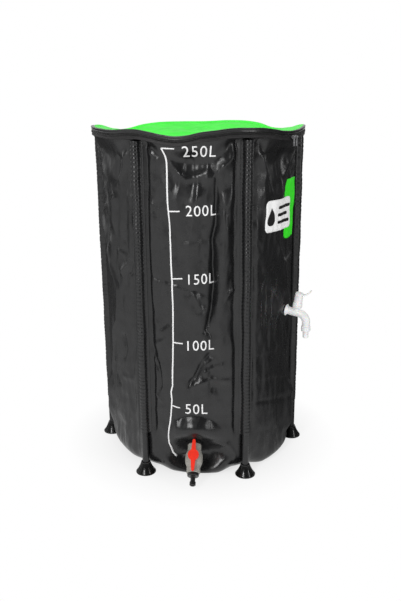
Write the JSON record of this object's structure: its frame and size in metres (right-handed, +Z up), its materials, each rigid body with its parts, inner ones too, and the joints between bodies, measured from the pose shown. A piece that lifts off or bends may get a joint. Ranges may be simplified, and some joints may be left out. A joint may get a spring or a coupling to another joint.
{
  "type": "collapsible water tank",
  "caption": "Soft round film water tank held up by side poles in sleeves, with a zip-on lid, a drain ball valve and a side tap.",
  "frame": {"origin": "centre of the round base, on the floor", "axes": "+Z up; the drain valve leaves towards -Y; the side tap is towards +X"},
  "size_m": [0.6695, 0.6868, 1.012],
  "materials": {
    "film_black": "semi-gloss PVC tarpaulin",
    "film_green": "semi-gloss bright green PVC film",
    "zip_tape": "woven polyester tape",
    "zip_coil": "nylon coil",
    "zip_metal": "plated die casting",
    "pole_black": "extruded PVC tube",
    "foot_black": "glossy injection moulding",
    "valve_grey": "moulded grey PVC with a fine texture",
    "handle_red": "red ABS moulding",
    "nipple_black": "glossy black moulding",
    "white_plastic": "glossy white moulding",
    "rubber": "black rubber"
  },
  "bodies": {
    "tank": {"bag_wall_front": "film_black", "bag_wall_back": "film_black", "bag_wall_left": "film_black", "bag_base": "film_black", "lid_panel": "film_green", "lid_skirt": "film_black", "zip_tape_lower": "zip_tape", "zip_tape_upper": "zip_tape", "zip_coil": "zip_coil", "drain_gasket_outer": "rubber", "drain_gasket_inner": "rubber", "drain_lock_nut": "valve_grey", "drain_bulkhead": "nipple_black", "valve_body": "valve_grey", "valve_end_cap": "valve_grey", "ball_seat_inner": "white_plastic", "ball_seat_outer": "white_plastic", "hose_nipple": "nipple_black", "nipple_washer": "rubber", "tap_gasket_outer": "rubber", "tap_gasket_inner": "rubber", "tap_lock_nut": "white_plastic", "tap_body": "white_plastic", "tap_bonnet": "white_plastic", "tap_nozzle": "white_plastic", "sleeve_right": "film_black", "sleeve_back_right": "film_black", "sleeve_back_left": "film_black", "sleeve_left": "film_black", "sleeve_front_left": "film_black", "sleeve_front_right": "film_black", "pole_right": "pole_black", "pole_back_right": "pole_black", "pole_back_left": "pole_black", "pole_left": "pole_black", "pole_front_left": "pole_black", "pole_front_right": "pole_black", "pole_cap_right": "foot_black", "pole_cap_back_right": "foot_black", "pole_cap_back_left": "foot_black", "pole_cap_left": "foot_black", "pole_cap_front_left": "foot_black", "pole_cap_front_right": "foot_black", "foot_right": "foot_black", "foot_back_right": "foot_black", "foot_back_left": "foot_black", "foot_left": "foot_black", "foot_front_left": "foot_black", "foot_front_right": "foot_black"},
    "drain_handle": {"valve_handle": "handle_red", "valve_stem": "valve_grey", "valve_ball": "white_plastic"},
    "tap_handle": {"tap_lever": "white_plastic", "tap_spindle": "white_plastic"},
    "zip_1": {"slider_1": "zip_metal"},
    "zip_2": {"slider_2": "zip_metal"},
    "tab_1": {"pull_tab_1": "zip_metal"},
    "tab_2": {"pull_tab_2": "zip_metal"}
  },
  "joints": [
    {"name": "drain_handle_turn", "type": "hinge", "parent": "tank", "child": "drain_handle", "pos_m": [0, -0.30486, 0.07053], "axis": [0, -0.6293, 0.7771], "range_deg": [0, 90]},
    {"name": "tap_lever_turn", "type": "hinge", "parent": "tank", "child": "tap_handle", "pos_m": [0.29672, -0.1229, 0.4672], "axis": [0.1286, -0.0533, 0.9903], "range_deg": [0, 90]},
    {"name": "zip_1_run", "type": "hinge", "parent": "tank", "child": "zip_1", "pos_m": [0, 0, 0.99085], "axis": [0, 0, 1], "range_deg": [0, 120]},
    {"name": "tab_1_lift", "type": "hinge", "parent": "zip_1", "child": "tab_1", "pos_m": [0.28131, -0.15274, 0.98126], "axis": [-0.4772, -0.8788, 0], "range_deg": [0, 110]},
    {"name": "zip_2_run", "type": "hinge", "parent": "tank", "child": "zip_2", "pos_m": [0, 0, 0.99085], "axis": [0, 0, 1], "range_deg": [-120, 0]},
    {"name": "tab_2_lift", "type": "hinge", "parent": "zip_2", "child": "tab_2", "pos_m": [0.2738, -0.16582, 0.98156], "axis": [-0.518, -0.8554, 0], "range_deg": [0, 110]}
  ]
}
